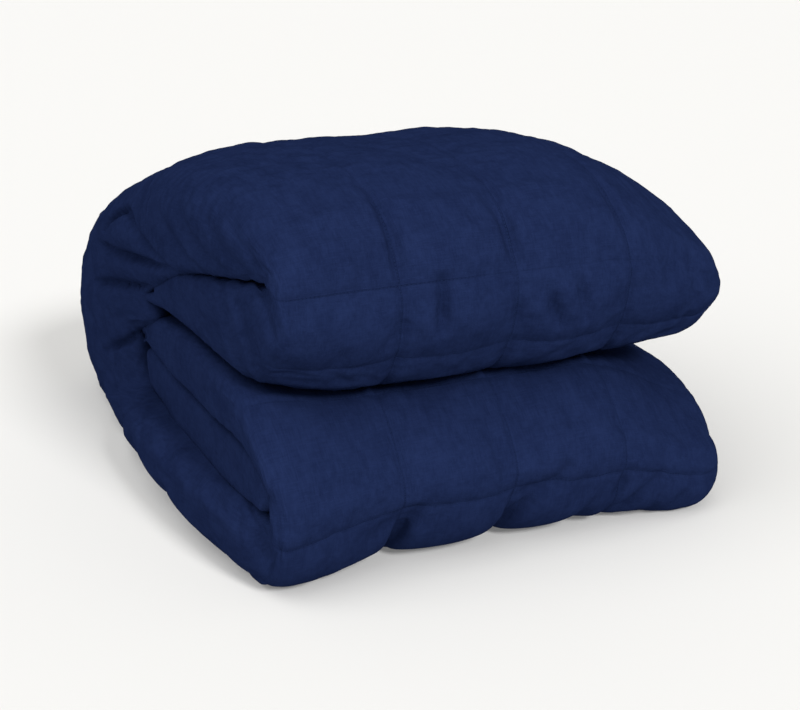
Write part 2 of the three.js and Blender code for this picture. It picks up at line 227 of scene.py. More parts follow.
@dataclass
class Quilting:
    """The stitched grid: long seams at fixed x, and cross seams at stations of the fold path."""

    row_pitch: float = 99.0
    seams_x: tuple[float, ...] = (-200, -98, -6, 90, 200)
    sharpness: float = 0.7  # below 1, pockets stay full almost up to their seams
    mouth: int = 3  # rows of the tables that lie on a cross seam
    lower_front: int = 5
    upper_front: int = 19
    under_front: int = 21
    shallow_station: float = 6.0  # round here the last long seam hardly sinks
    shallow_x: float = 90.0
    shallow_width: float = 40.0
    shallow_share: float = 1.3
    shortest_tail: float = 0.3  # a last pocket shorter than this part of a row is left out
    steps_per_row: int = 100  # how finely the path is measured
    stations: np.ndarray = field(init=False)

    def __post_init__(self) -> None:
        """Work out the station of every cross seam."""
        self.stations = self.place_cross_seams()

    def place_cross_seams(self) -> np.ndarray:
        """Find all cross seams: four are set by the table, and the rest follow at the row pitch.

        Returns:
            The stations of the cross seams, from one short hem to the other.
        """
        s = np.linspace(0, PATH.last, self.steps_per_row * PATH.last + 1)
        steps = np.hypot(np.diff(PATH.read("outer_y", s)), np.diff(PATH.read("outer_z", s)))
        length = np.concatenate([[0], np.cumsum(steps)])
        mouth, lower, upper, under = (
            float(np.interp(row, s, length))
            for row in (self.mouth, self.lower_front, self.upper_front, self.under_front)
        )
        hidden = int(mouth // self.row_pitch)
        rows = round((upper - lower) / self.row_pitch)
        tail = int((length[-1] - under) / self.row_pitch - self.shortest_tail)
        marks = [mouth - k * self.row_pitch for k in range(hidden, -1, -1)]
        marks += list(np.linspace(lower, upper, rows + 1))
        marks += [under + k * self.row_pitch for k in range(tail + 1)]
        return np.concatenate([[0.0], np.interp(marks, length, s), [float(PATH.last)]])

    def row_phase(self, station: np.ndarray) -> np.ndarray:
        """Give the row of pockets and the place in it: 2.5 is the middle of the third row."""
        return np.interp(station, self.stations, np.arange(len(self.stations)))

    def column_phase(self, x: np.ndarray) -> np.ndarray:
        """Give the column of pockets and the place in it."""
        return np.interp(x, self.seams_x, np.arange(len(self.seams_x)))

    def fullness(self, station: np.ndarray, x: np.ndarray) -> np.ndarray:
        """Say how full the cloth is: 0 on a long seam, 1 in the middle of a pocket.

        Args:
            station: Stations along the path.
            x: Places across it, in a shape that goes with the stations.

        Returns:
            Values from 0 to 1.
        """
        across = np.abs(np.sin(np.pi * self.column_phase(x))) ** self.sharpness
        beside = (x - self.shallow_x) / self.shallow_width
        shallow = np.exp(-((station - self.shallow_station) ** 2) - beside**2)
        across = np.maximum(across, self.shallow_share * shallow)
        along = np.abs(np.sin(np.pi * self.row_phase(station))) ** self.sharpness
        return across * (1 - PATH.read("cross", station) * (1 - along))


@dataclass
class Skins:
    """The outer and the inner surface of one layer, at any station and x."""

    quilting: Quilting
    left_blend: tuple[float, float] = (-110, -203)
    right_blend: tuple[float, float] = (70, 203)
    end_rounding: float = 0.1  # how far a short hem takes to round off, in rows of the tables
    end_pinch: float = 0.4  # how much thinner the layer is on a short hem
    direction_step: float = 0.02  # how far apart two places are that give the path's direction, in rows

    def near_end(self, station: np.ndarray) -> np.ndarray:
        """Go from 1 on a short hem to 0 a little way in."""
        return np.clip(1 - np.minimum(station, PATH.last - station) / self.end_rounding, 0, 1)

    def smooth_outer(self, station: np.ndarray, x: np.ndarray) -> np.ndarray:
        """Give the outer skin without its pockets.

        Args:
            station: Stations along the path.
            x: Places across it.

        Returns:
            Y and Z in the last dimension.
        """
        left, right = blend(self.left_blend, x), blend(self.right_blend, x)
        parts = [
            PATH.read(f"outer_{axis}", station)
            + left * LEFT.read(f"pull_{axis}", station)
            + right * RIGHT.read(f"pull_{axis}", station)
            for axis in "yz"
        ]
        return np.stack(np.broadcast_arrays(*parts), axis=-1)

    def inner(self, station: np.ndarray, x: np.ndarray) -> np.ndarray:
        """Give the inner skin.

        Args:
            station: Stations along the path.
            x: Places across it.

        Returns:
            Y and Z in the last dimension.
        """
        left, right = blend(self.left_blend, x), blend(self.right_blend, x)
        y = PATH.read("inner_y", station) + left * LEFT.read("in_y", station)
        z = PATH.read("inner_z", station) + left * LEFT.read("in_z", station)
        z = z + right * RIGHT.read("in_z", station)
        return np.stack(np.broadcast_arrays(y, z), axis=-1)

    def outer(self, station: np.ndarray, x: np.ndarray, depth: np.ndarray) -> np.ndarray:
        """Give the outer skin with its pockets, pressed flat where it lies on the surface.

        Args:
            station: Stations along the path.
            x: Places across it.
            depth: 0 on the outer skin and 1 on the inner one; the pockets fade out on the way.

        Returns:
            Y and Z in the last dimension.
        """
        step = self.direction_step
        here = self.smooth_outer(station, x)
        ahead = self.smooth_outer(np.minimum(station + step, PATH.last), x)
        along = ahead - self.smooth_outer(np.maximum(station - step, 0), x)
        along /= np.linalg.norm(along, axis=-1, keepdims=True)
        outwards = np.stack([along[..., 1], -along[..., 0]], axis=-1)
        puff = PATH.read("puff", station) * self.quilting.fullness(station, x) * (1 - depth) ** 2
        skin = here + outwards * np.asarray(puff)[..., None]
        skin[..., 1] = np.maximum(skin[..., 1], 0)
        return skin

    def point(self, station: np.ndarray, x: np.ndarray, depth: np.ndarray) -> np.ndarray:
        """Give points of the layer.

        Args:
            station: Stations along the path.
            x: Places across it.
            depth: 0 on the outer skin and 1 on the inner one.

        Returns:
            X, Y and Z in the last dimension.
        """
        pinched = depth + (0.5 - depth) * self.end_pinch * self.near_end(station)
        outer, inner = self.outer(station, x, depth), self.inner(station, x)
        yz = outer + (inner - outer) * np.asarray(pinched)[..., None]
        return np.concatenate([np.broadcast_to(x, yz.shape[:-1])[..., None], yz], axis=-1)


@dataclass
class PlySection:
    """The three plies of one layer, as one closed loop of places round the section."""

    quilting: Quilting
    skins: Skins
    ply_gap: float = 1.0  # half the slit between two plies
    end_gap: float = 2.5  # the same on a short hem
    right_depth: float = 36.0  # how far the right-hand fold takes to round off
    hem_depth: float = 12.0  # how far a single hem takes to round off
    right_square: float = 2.4  # how square the right-hand fold is, as in the table
    inner_square: float = 5.0  # the same for the inner side of the left-hand fold and for the hems
    per_pocket: int = 16  # places across one pocket
    fold_steps: int = 13  # places round the right-hand fold
    left_steps: int = 34  # places round the left-hand fold, which carries creases
    column_pitch: float = 100.0  # one column of pockets, measured round the folds
    slit_inset: float = 10.0  # how far a slit stays off the fold that closes it
    slit_tip: float = 6.0  # how long the pointed end of a slit is at the right-hand fold
    left_slit_tip: float = 5.0  # the same at the left-hand fold
    inner_hem_inset: float = 30.0  # how far the hidden hem stays off the right-hand fold
    hem_lead: float = 12.0  # between the first places beside a hem
    hem_edge: float = 3.0  # how far off the hem's edge its last flat place is
    second_lead: float = 20.0  # how far off the hem the second ply's places start
    inner_shares: tuple[float, ...] = (0, 0.08, 0.2, 0.35, 0.5, 0.65, 0.8, 0.92)
    hem_turns: tuple[float, ...] = (0.52, 0.56, 0.62, 0.7, 0.78, 0.86, 0.94)
    ladder: tuple[float, ...] = (0.12, 0.4, 0.8)  # where the hidden plies have places
    ladder_end: float = 0.95

    @staticmethod
    def round_off(turn: float, square: np.ndarray | float) -> np.ndarray | float:
        """Say how far round a fold reaches out: 0 at both skins, 1 in the middle."""
        return (1 - abs(math.cos(math.pi * turn)) ** square) ** (1 / square)

    @staticmethod
    def turns(count: int) -> np.ndarray:
        """Give the parts of a turn at which a fold has its places."""
        return (np.arange(count) + 0.7) / (count + 0.4)

    @staticmethod
    def part_way(start: np.ndarray, stop: np.ndarray, shares: tuple[float, ...]) -> list[np.ndarray]:
        """Give places at some shares of the way from start to stop."""
        return [start + (stop - start) * t for t in shares]

    def columns(self, x: np.ndarray, deep: np.ndarray, outside: int, jump: int) -> np.ndarray:
        """Number the places as columns of pockets, for the map of the flat cloth.

        Args:
            x: The places, a row for each section.
            deep: How far each lies below the skin that shows, in millimetres.
            outside: How many places of a section lie on the skin that shows.
            jump: The place in the hidden slits where the map is cut.

        Returns:
            The column of every place: 0 to 4 on the skin that shows, and further round the folds.
        """
        steps = np.hypot(np.diff(x, axis=1, append=x[:, :1]), np.diff(deep, axis=1, append=deep[:, :1]))
        length = np.cumsum(steps, axis=1) - steps
        column = 4 + (length - length[:, outside - 1 : outside]) / self.column_pitch
        column[:, jump:] = (length[:, jump:] - length[:, -1:] - steps[:, -1:]) / self.column_pitch
        column[:, :outside] = np.arange(outside) / self.per_pocket
        return column

    def loop(self, station: np.ndarray) -> tuple[np.ndarray, np.ndarray, np.ndarray, np.ndarray]:
        """Place the loop at every station.

        Args:
            station: The stations of the sections.

        Returns:
            X, depth and column with a row for each station, and for each place whether it shows.
        """
        s = station[:, None]
        thick = np.linalg.norm(
            self.skins.smooth_outer(s, np.zeros((1, 1))) - self.skins.inner(s, np.zeros((1, 1))), axis=-1
        )
        near = self.skins.near_end(s)
        gap = (self.ply_gap + (self.end_gap - self.ply_gap) * near) / thick
        share, depth = LEFT.read("share", s), LEFT.read("depth", s)
        left = LEFT.read("edge", s)
        start, stop = left + depth, RIGHT.read("edge", s) - self.right_depth
        hem = left + LEFT.read("inset", s)
        between = share / 2
        pieces: list[tuple[np.ndarray, np.ndarray, float]] = []

        def run(xs: list[np.ndarray], deep: np.ndarray, shown: float) -> None:
            """Add places at one depth."""
            pieces.extend((x, deep, shown) for x in xs)

        # the skin that shows, from the left fold to the right one
        phases = np.arange(0, 4 * self.per_pocket) / self.per_pocket
        seams = [start, *(np.full_like(start, x) for x in self.quilting.seams_x[1:-1]), stop]
        for phase in phases:
            k = int(phase)
            pieces.append((seams[k] + (phase - k) * (seams[k + 1] - seams[k]), 0 * start, SHOWN))
        pieces.append((stop, 0 * start, SHOWN))
        outside = len(pieces)

        # the right-hand fold, round all three plies
        for turn in self.turns(self.fold_steps):
            x = stop + self.right_depth * self.round_off(turn, self.right_square)
            pieces.append((x, 0 * start + (1 - math.cos(math.pi * turn)) / 2, SHOWN))

        # the inner skin, back to the single hem on the left
        beside = hem + self.hem_depth
        inside = self.part_way(stop, beside + 2 * self.hem_lead, self.inner_shares)
        run([*inside, beside + self.hem_lead, beside, hem + self.hem_edge], 0 * start + 1, HIDDEN)
        for turn in self.hem_turns:
            x = hem + self.hem_depth * (1 - self.round_off(turn, self.inner_square))
            pieces.append((x, 1 + (share + gap - 1) * abs(math.cos(math.pi * turn)), IN_SLIT))

        # the slit between the third ply and the second, out to the right-hand fold
        slit = stop - self.slit_inset
        inner_hem = stop - self.inner_hem_inset
        third = self.part_way(hem + self.second_lead, inner_hem, self.ladder)
        run([beside, beside + self.hem_lead, *third, inner_hem, slit], share + gap, HIDDEN)
        pieces.append((slit + self.slit_tip, (between + share) / 2, HIDDEN))

        # the slit between the second ply and the first, in to the left-hand fold
        inside_fold = start + self.slit_inset
        second = self.part_way(inner_hem, inside_fold, self.ladder)
        run([slit, inner_hem, *second, inside_fold], between - gap, HIDDEN)
        pieces.append((inside_fold - self.left_slit_tip, between, HIDDEN))

        # the second ply: its lower side, its hem near the right, and its upper side
        jump = len(pieces)
        run([inside_fold, *second[::-1], inner_hem], between + gap, HIDDEN)
        pieces.append((inner_hem + self.slit_tip, (between + share) / 2, HIDDEN))
        upper = self.part_way(inner_hem, start, (*self.ladder, self.ladder_end))
        run([inner_hem, *upper, start], share - gap, HIDDEN)

        # the left-hand fold, round the first two plies
        square = LEFT.read("square", s)
        for turn in self.turns(self.left_steps)[::-1]:
            x = start - depth * self.round_off(turn, square if turn < 0.5 else self.inner_square)
            pieces.append((x, (share - gap) * (1 - math.cos(math.pi * turn)) / 2, SHOWN))
        x = np.concatenate([np.broadcast_to(p[0], start.shape) for p in pieces], axis=1)
        deep = np.concatenate([np.broadcast_to(p[1], start.shape) for p in pieces], axis=1)
        shown = np.array([p[2] for p in pieces])
        return x, deep, self.columns(x, deep * thick, outside, jump), shown


def read_points(mesh: bpy.types.Mesh) -> np.ndarray:
    """Read the places of all points, in metres."""
    flat = np.zeros(3 * len(mesh.vertices), np.float32)
    mesh.vertices.foreach_get("co", flat)
    return flat.reshape(-1, 3).astype(float)


def write_points(mesh: bpy.types.Mesh, points: np.ndarray) -> None:
    """Write the places of all points, in metres."""
    mesh.vertices.foreach_set("co", points.astype(np.float32).reshape(-1))
    mesh.update()


def read_normals(mesh: bpy.types.Mesh) -> np.ndarray:
    """Read the outward direction at all points."""
    flat = np.zeros(3 * len(mesh.vertices), np.float32)
    mesh.vertex_normals.foreach_get("vector", flat)
    return flat.reshape(-1, 3).astype(float)


def keep_values(mesh: bpy.types.Mesh, name: str, values: np.ndarray) -> None:
    """Keep one number for each point in the mesh."""
    mesh.attributes.new(name, "FLOAT", "POINT").data.foreach_set("value", values.astype(np.float32))


def read_values(mesh: bpy.types.Mesh, name: str) -> np.ndarray:
    """Read the numbers that keep_values kept."""
    values = np.zeros(len(mesh.vertices), np.float32)
    mesh.attributes[name].data.foreach_get("value", values)
    return values.astype(float)


def ripples(places: np.ndarray, size: float, seed: int, waves: int = 9) -> np.ndarray:
    """Give smooth, uneven waves, the same on every run.

    Args:
        places: Points, one in each row, with any number of coordinates.
        size: The usual length of a wave, in the units of the points.
        seed: Picks the pattern.
        waves: How many plain waves are added up.

    Returns:
        A value for each point, mostly from -1 to 1.
    """
    draw = np.random.default_rng(seed)
    total = np.zeros(len(places))
    for _ in range(waves):
        direction = draw.normal(size=places.shape[1])
        direction *= draw.uniform(0.6, 1.5) / np.linalg.norm(direction)
        total += np.sin(2 * np.pi * (places @ direction) / size + draw.uniform(0, 2 * np.pi))
    return total / math.sqrt(waves)


@dataclass(frozen=True)
class Crease:
    """A soft crease along a line of points, in millimetres."""

    kind: Creasing
    width: float
    depth: float
    line: tuple[tuple[float, float, float], ...]
    sides: tuple[float, float] = (-170.0, -225.0)  # x of the left-hand end and y of the front
    reach: float = 3.0  # how far it acts, in widths
    tip: float = 0.08  # how much of the taper is cut off at each end
    taper: float = 0.7  # below 1, it keeps its depth almost up to its ends

    def relief(self, places: np.ndarray) -> np.ndarray:
        """Say how far it moves every place along the outward direction.

        A crease that lies wholly on the left-hand end or on the front acts straight on to it, so its
        line needs no exact depth there.

        Args:
            places: Points in millimetres.

        Returns:
            Millimetres, negative inwards.
        """
        knots = np.array(self.line, float)
        reach = self.reach * self.width
        for axis, side in enumerate(self.sides):
            if knots[:, axis].max() < side:
                straight_on = np.array([1, 1, 1])
                straight_on[axis] = 0
                beyond = places[:, axis : axis + 1] < side
                places = np.where(beyond, places * straight_on, math.inf)
                knots = knots * straight_on
        inside = np.all((places > knots.min(0) - reach) & (places < knots.max(0) + reach), axis=1)
        near = places[inside]
        spans = np.linalg.norm(np.diff(knots, axis=0), axis=1)
        total = spans.sum()
        best = np.full(len(near), np.inf)
        along = np.zeros(len(near))
        done = 0.0
        for start, stop, span in zip(knots[:-1], knots[1:], spans):
            way = (stop - start) / span
            t = np.clip((near - start) @ way, 0, span)
            gap = np.linalg.norm(near - start - t[:, None] * way, axis=1)
            closer = gap < best
            best = np.where(closer, gap, best)
            along = np.where(closer, (done + t) / total, along)
            done += span
        way_along = self.tip + (1 - 2 * self.tip) * along
        taper = np.sin(np.pi * np.clip(way_along, 0, 1)) ** self.taper
        moved = np.zeros(len(places))
        moved[inside] = self.kind.value * self.depth * taper * np.exp(-((best / self.width) ** 2))
        return moved


def trough(width: float, depth: float, *line: tuple[float, float, float]) -> Crease:
    """Place a trough along a line of points."""
    return Crease(Creasing.TROUGH, width, depth, line)


def ridge(width: float, depth: float, *line: tuple[float, float, float]) -> Crease:
    """Place a ridge along a line of points."""
    return Crease(Creasing.RIDGE, width, depth, line)


CREASES: tuple[Crease, ...] = (
    # left end: the hooked pinch and the folds that run from the spine into the upper cleft
    trough(3.4, 8, (-204, 118, 187), (-203, 105, 197), (-203, 88, 208), (-204, 62, 217)),
    trough(3.4, 8, (-204, 76, 213), (-204, 46, 222), (-205, 26, 221), (-205, 8, 216)),
    trough(3.0, 5, (-205, 24, 220), (-206, -4, 213), (-207, -40, 210), (-206, -84, 205)),
    ridge(9, 3, (-206, 96, 192), (-206, 40, 202), (-206, -20, 203)),
    trough(3.6, 9, (-206, -90, 202), (-207, -18, 193), (-207, 58, 182), (-206, 140, 171)),
    ridge(8, 3, (-206, -10, 181), (-206, 60, 171), (-206, 130, 160)),
    trough(3.6, 9, (-205, -16, 168), (-206, 30, 161), (-206, 82, 150), (-206, 156, 131)),
    ridge(9, 2.5, (-206, 30, 140), (-206, 80, 132), (-206, 140, 118)),
    trough(3.6, 9, (-206, 142, 68), (-206, 112, 82), (-206, 76, 96), (-206, 36, 113)),
    # gathers on the shoulder of the top bundle
    trough(5, 3.4, (-204, -60, 246), (-204, -75, 240), (-202, -104, 228), (-196, -150, 220)),
    ridge(6, 1.6, (-202, -88, 252), (-202, -112, 242), (-200, -138, 228), (-196, -170, 222)),
    trough(5.5, 3.0, (-200, -110, 260), (-200, -142, 242), (-197, -165, 232), (-192, -198, 229)),
    trough(6, 2.2, (-196, -160, 268), (-195, -185, 252), (-192, -207, 242), (-188, -232, 235)),
    trough(6, 1.6, (-188, -197, 268), (-190, -221, 257), (-186, -239, 247), (-184, -258, 239)),
    # soft dents in the front of the top bundle
    trough(4.6, 10.0, (-57, -280, 226), (-59, -279, 208), (-58, -275, 188)),
    trough(4.5, 8.5, (29, -280, 210), (32, -275, 194), (37, -272, 180)),
    trough(4, 6.0, (53, -280, 212), (56, -277, 198), (59, -274, 184)),
    # dents along the long seams, over the top front fold
    trough(7, 4.0, (-91, -232, 276), (-89, -250, 268), (-87, -264, 252), (-88, -274, 228)),
    trough(7, 6.0, (-6, -232, 277), (-3, -250, 269), (0, -264, 253), (3, -273, 232)),
    trough(7, 3.6, (94, -238, 272), (96, -252, 262), (98, -266, 246)),
    # folds from the seam crossings down to the notches of the bottom bundle
    trough(7, 10.0, (-79, -272, 52), (-84, -262, 33), (-87, -240, 10)),
    trough(5, 2.8, (-89, -275, 54), (-100, -275, 47), (-112, -272, 36)),
    trough(5, 4.0, (36, -277, 56), (18, -275, 52), (2, -275, 48)),
    trough(7, 10.0, (22, -273, 47), (12, -264, 32), (4, -246, 14)),
    trough(5, 4.0, (104, -275, 56), (101, -272, 44), (98, -268, 32)),
    trough(6, 7.5, (120, -268, 30), (111, -259, 18), (102, -246, 8)),
    trough(6, 4.0, (136, -277, 46), (128, -274, 38), (120, -268, 28)),
    trough(6, 4.5, (52, -284, 76), (43, -282, 64), (35, -278, 52)),
    trough(6, 3.6, (-14, -280, 98), (-9, -280, 80), (-5, -278, 62)),
)


def from_line(phase: np.ndarray) -> np.ndarray:
    """Say how far each place is from the nearest stitched line, in pockets."""
    return np.abs(phase - np.round(phase))


def past_seams(column: np.ndarray) -> np.ndarray:
    """Say which places lie on or past the folds at both ends, where there is no long seam."""
    return (column < SEAM_COLUMNS[0]) | (column > SEAM_COLUMNS[1])


@dataclass(frozen=True)
class Needlework:
    """What the stitching and the uneven filling do to the surface."""

    row: np.ndarray
    column: np.ndarray
    shown: np.ndarray
    line: np.ndarray
    cross_line: np.ndarray
    places: np.ndarray
    pocket: float = 98.0  # the side of a pocket
    groove_width: float = 2.6
    groove_depth: float = 1.2
    pucker_depth: float = 0.45
    pucker_reach: float = 16.0  # how far from a seam the puckers fade out
    pucker_length: float = 15.0
    lump_depth: float = 0.9
    lump_size: float = 75.0
    lump_seed: int = 7

    def puckers(self, phase: np.ndarray, seed: int) -> np.ndarray:
        """Give the small waves beside a seam.

        Args:
            phase: Rows or columns, in the direction in which the waves follow each other.
            seed: Picks the pattern.

        Returns:
            A value for each point.
        """
        both = np.stack([self.column, self.row], axis=1) * self.pocket
        waves = ripples(phase[:, None] * self.pocket, self.pucker_length, seed)
        return waves + ripples(both, 2 * self.pucker_length, seed + 2)

    def relief(self) -> np.ndarray:
        """Add everything up.

        Returns:
            Millimetres along the outward direction of every point.
        """
        from_cross = from_line(self.row) * self.pocket
        from_long = np.where(past_seams(self.column), FAR, from_line(self.column)) * self.pocket
        groove = self.cross_line * np.exp(-((from_cross / self.groove_width) ** 2))
        groove = np.maximum(groove, self.line * np.exp(-((from_long / self.groove_width) ** 2)))
        move = -self.groove_depth * groove
        across, along = self.puckers(self.column, 3), self.puckers(self.row, 4)
        move += 0.5 * self.pucker_depth * across * np.exp(-from_cross / self.pucker_reach)
        move += 0.5 * self.pucker_depth * along * np.exp(-from_long / self.pucker_reach)
        move += self.lump_depth * ripples(self.places, self.lump_size, self.lump_seed)
        for crease in CREASES:
            move += crease.relief(self.places)
        return move * np.where(self.shown > WORKED, 1, 0)


@dataclass
class Wiring:
    """Short ways of adding nodes to one material."""

    tree: bpy.types.NodeTree

    def join(self, node: bpy.types.Node, **inputs: object) -> None:
        """Set or link inputs of a node, by their names with underscores, or by n0, n1 for their numbers."""
        for name, value in inputs.items():
            numbered = name[0] == "n" and name[1:].isdigit()
            socket = node.inputs[int(name[1:])] if numbered else node.inputs[name.replace("_", " ")]
            if isinstance(value, Socket):
                self.tree.links.new(value, socket)
            else:
                socket.default_value = value

    def sum(self, kind: str, *values: object, clamp: bool = False) -> Socket:
        """Add a Math node."""
        node = self.tree.nodes.new("ShaderNodeMath")
        node.operation = kind
        node.use_clamp = clamp
        self.join(node, **{f"n{i}": value for i, value in enumerate(values)})
        return node.outputs[0]

    def times(self, value: Socket, factor: object) -> Socket:
        """Multiply two values."""
        return self.sum("MULTIPLY", value, factor)

    def plus(self, value: Socket, more: object) -> Socket:
        """Add two values."""
        return self.sum("ADD", value, more)

    def noise(self, place: Socket, stretch: tuple[float, float], detail: float) -> Socket:
        """Add a noise on the map, from 0 to 1.

        Args:
            place: The place on the map.
            stretch: The size of its grain along and across, in metres.
            detail: How much finer grain it has.

        Returns:
            The noise.
        """
        scaled = self.tree.nodes.new("ShaderNodeMapping")
        self.join(scaled, Vector=place, Scale=(1 / stretch[0], 1 / stretch[1], 1))
        grain = self.tree.nodes.new("ShaderNodeTexNoise")
        self.join(grain, Vector=scaled.outputs[0], Scale=1.0, Detail=detail, Roughness=0.6)
        return grain.outputs[0]

    def span(self, value: Socket, start: float, stop: float) -> Socket:
        """Go smoothly from 0 at start to 1 at stop."""
        node = self.tree.nodes.new("ShaderNodeMapRange")
        node.interpolation_type = "SMOOTHSTEP"
        self.join(node, Value=value, From_Min=start, From_Max=stop)
        return node.outputs[0]

    def tint(self, share: Socket, first: object, second: object) -> Socket:
        """Mix two colours."""
        node = self.tree.nodes.new("ShaderNodeMix")
        node.data_type = "RGBA"
        self.join(node, n0=share, n6=first, n7=second)
        return node.outputs[2]


@dataclass(frozen=True)
class NavyCloth:
    """The finish of the quilted cloth: matte navy cotton with a fine, slubby plain weave, with painted
    shade along its seam lines.
    """

    name: str = "navy_cloth"
    dark: tuple[float, float, float] = (0.0066, 0.0118, 0.0405)
    light: tuple[float, float, float] = (0.0109, 0.0193, 0.0630)
    # painted shade for the seam lines, darker than the cloth
    seam_shade: tuple[float, float, float] = (0.0045, 0.0080, 0.0290)
    thread: tuple[float, float, float] = (0.0090, 0.0165, 0.0530)
    roughness: float = 0.92
    yarn: float = 0.0011  # one yarn of the weave, in metres
    slub: float = 0.012  # the length of a thick place in a yarn
    patch_size: tuple[float, float] = (0.018, 0.036)
    fleck_size: tuple[float, float] = (0.0042, 0.0064)
    weave_share: float = 0.45  # how much of the shade comes from the weave
    patch_share: float = 0.33
    fleck_share: float = 0.22
    shade_span: tuple[float, float] = (0.32, 0.68)  # the shades that give the dark and light colours
    # how far the seam lines take the painted shade
    seam_shade_share: float = 0.6
    bump_height: float = 0.0006  # in metres
    bump_strength: float = 0.6
    stitch: float = 0.0034  # one stitch and the gap after it
    stitch_gap: tuple[float, float] = (0.12, 0.22)  # where a stitch starts, as a part of its length
    seam_width: float = 0.0010

    def build(self) -> bpy.types.Material:
        """Make the material.

        Returns:
            The finished material.
        """
        material = bpy.data.materials.new(self.name)
        material.use_nodes = True
        wiring = Wiring(material.node_tree)
        shader = material.node_tree.nodes["Principled BSDF"]
        cloth = material.node_tree.nodes.new("ShaderNodeUVMap")
        cloth.uv_map = "cloth"
        place = cloth.outputs[0]
        weft = wiring.noise(place, (self.slub, self.yarn), 2)
        warp = wiring.noise(place, (self.yarn, self.slub), 2)
        weave = wiring.times(wiring.plus(weft, warp), 0.5)
        patches = wiring.noise(place, self.patch_size, 3)
        flecks = wiring.noise(place, self.fleck_size, 2)
        shade = wiring.plus(wiring.times(weave, self.weave_share), wiring.times(patches, self.patch_share))
        shade = wiring.plus(shade, wiring.times(flecks, self.fleck_share))
        colour = wiring.tint(wiring.span(shade, *self.shade_span), (*self.dark, 1), (*self.light, 1))
        seam, stitches = self.seams(wiring, place)
        # the seam lines get painted shade, standing in for the shade of their sunk grooves
        colour = wiring.tint(wiring.times(seam, self.seam_shade_share), colour, (*self.seam_shade, 1))
        colour = wiring.tint(stitches, colour, (*self.thread, 1))
        wiring.join(shader, Base_Color=colour, Specular_IOR_Level=0.0)
        rough = wiring.sum("ADD", wiring.times(shade, 0.1), self.roughness - 0.05, clamp=True)
        wiring.join(shader, Roughness=rough)
        height = wiring.plus(wiring.times(weave, 0.8), wiring.times(flecks, 0.3))
        height = wiring.sum("SUBTRACT", height, wiring.times(seam, 0.9))
        height = wiring.plus(height, wiring.times(stitches, 0.5))
        bump = material.node_tree.nodes.new("ShaderNodeBump")
        wiring.join(bump, Strength=self.bump_strength, Distance=self.bump_height, Height=height)
        wiring.join(shader, Normal=bump.outputs[0])
        return material

    def seams(self, wiring: Wiring, place: Socket) -> tuple[Socket, Socket]:
        """Draw the stitched lines, with a painted shade along them as if in sunk grooves.

        Args:
            wiring: The material's nodes.
            place: The place on the map.

        Returns:
            Where the seams are, for their painted shade and their bump groove, and where their stitches
            are, from 0 to 1.
        """
        split = wiring.tree.nodes.new("ShaderNodeSeparateXYZ")
        wiring.join(split, Vector=place)
        across, along = split.outputs[0], split.outputs[1]
        half = POCKET_ON_MAP / 2
        # the painted seam shade fades in and out at random along the seams
        uneven = wiring.span(wiring.noise(place, (0.03, 0.03), 1), 0.3, 0.6)
        fading = wiring.plus(wiring.times(uneven, 0.6), 0.4)
        # the long seams run between the first pocket's middle and the last one's
        inside = wiring.span(across, half, half * 1.2)
        inside = wiring.times(inside, wiring.span(across, half * 7, half * 6.8))
        start, full = (self.stitch * part for part in self.stitch_gap)
        lines, dashes = [], []
        for here, other, name in ((across, along, "line"), (along, across, "cross_line")):
            plain = wiring.tree.nodes.new("ShaderNodeAttribute")
            plain.attribute_name = name
            gap = wiring.sum("PINGPONG", here, half)
            line = wiring.span(gap, self.seam_width, self.seam_width / 3)
            thread = wiring.span(gap, self.seam_width * 0.5, self.seam_width * 0.3)
            if here is across:
                line = wiring.times(line, inside)
                thread = wiring.times(thread, inside)
            on = wiring.span(wiring.sum("PINGPONG", other, self.stitch / 2), start, full)
            lines.append(wiring.times(line, wiring.times(plain.outputs[2], fading)))
            dashes.append(wiring.times(wiring.times(thread, on), plain.outputs[2]))
        return wiring.sum("MAXIMUM", *lines), wiring.sum("MAXIMUM", *dashes)


@dataclass
class Filling:
    """The filling swells the cloth between its seams, by a short simulation."""

    pressure: float = 4.0
    spare: float = 0.035  # how much longer the cloth is than the straight way across a pocket
    frames: int = 20
    reach: float = 4.5  # no point moves further than this
    stretch_stiffness: float = 15.0
    shear_stiffness: float = 5.0
    bending_stiffness: float = 0.3
    quality: int = 5
    pin_group: str = "stitched"

    def swell(self, obj: bpy.types.Object, pinned: np.ndarray) -> None:
        """Run the simulation and keep its result in the mesh.

        Args:
            obj: The piece.
            pinned: For each point, from 1 where it is held to 0 where it is free.
        """
        group = obj.vertex_groups.new(name=self.pin_group)
        for level in np.unique(pinned):
            if level > 0:
                group.add(np.flatnonzero(pinned == level).tolist(), float(level), "REPLACE")
        cloth = obj.modifiers.new("filling", "CLOTH")
        settings = cloth.settings
        settings.use_pressure = True
        settings.uniform_pressure_force = self.pressure
        settings.effector_weights.gravity = 0
        settings.shrink_min = -self.spare
        settings.vertex_group_mass = self.pin_group
        settings.tension_stiffness = self.stretch_stiffness
        settings.compression_stiffness = self.stretch_stiffness
        settings.shear_stiffness = self.shear_stiffness
        settings.bending_stiffness = self.bending_stiffness
        settings.quality = self.quality
        cloth.collision_settings.use_collision = False
        cloth.collision_settings.use_self_collision = False
        cloth.point_cache.frame_start = 1
        cloth.point_cache.frame_end = self.frames
        scene = bpy.context.scene
        scene.frame_start = 1
        scene.frame_end = self.frames
        for frame in range(1, self.frames + 1):
            scene.frame_set(frame)
        swollen = obj.evaluated_get(bpy.context.evaluated_depsgraph_get())
        before, after = read_points(obj.data), read_points(swollen.data)
        obj.modifiers.remove(cloth)
        obj.vertex_groups.remove(group)
        scene.frame_set(1)
        move = after - before
        far = np.linalg.norm(move, axis=1, keepdims=True)
        move *= np.minimum(1, self.reach * MM / np.maximum(far, 1e-9))
        LOG.info("filling: up to %.1f mm, held to %.1f mm", far.max() / MM, self.reach)
        write_points(obj.data, before + move)


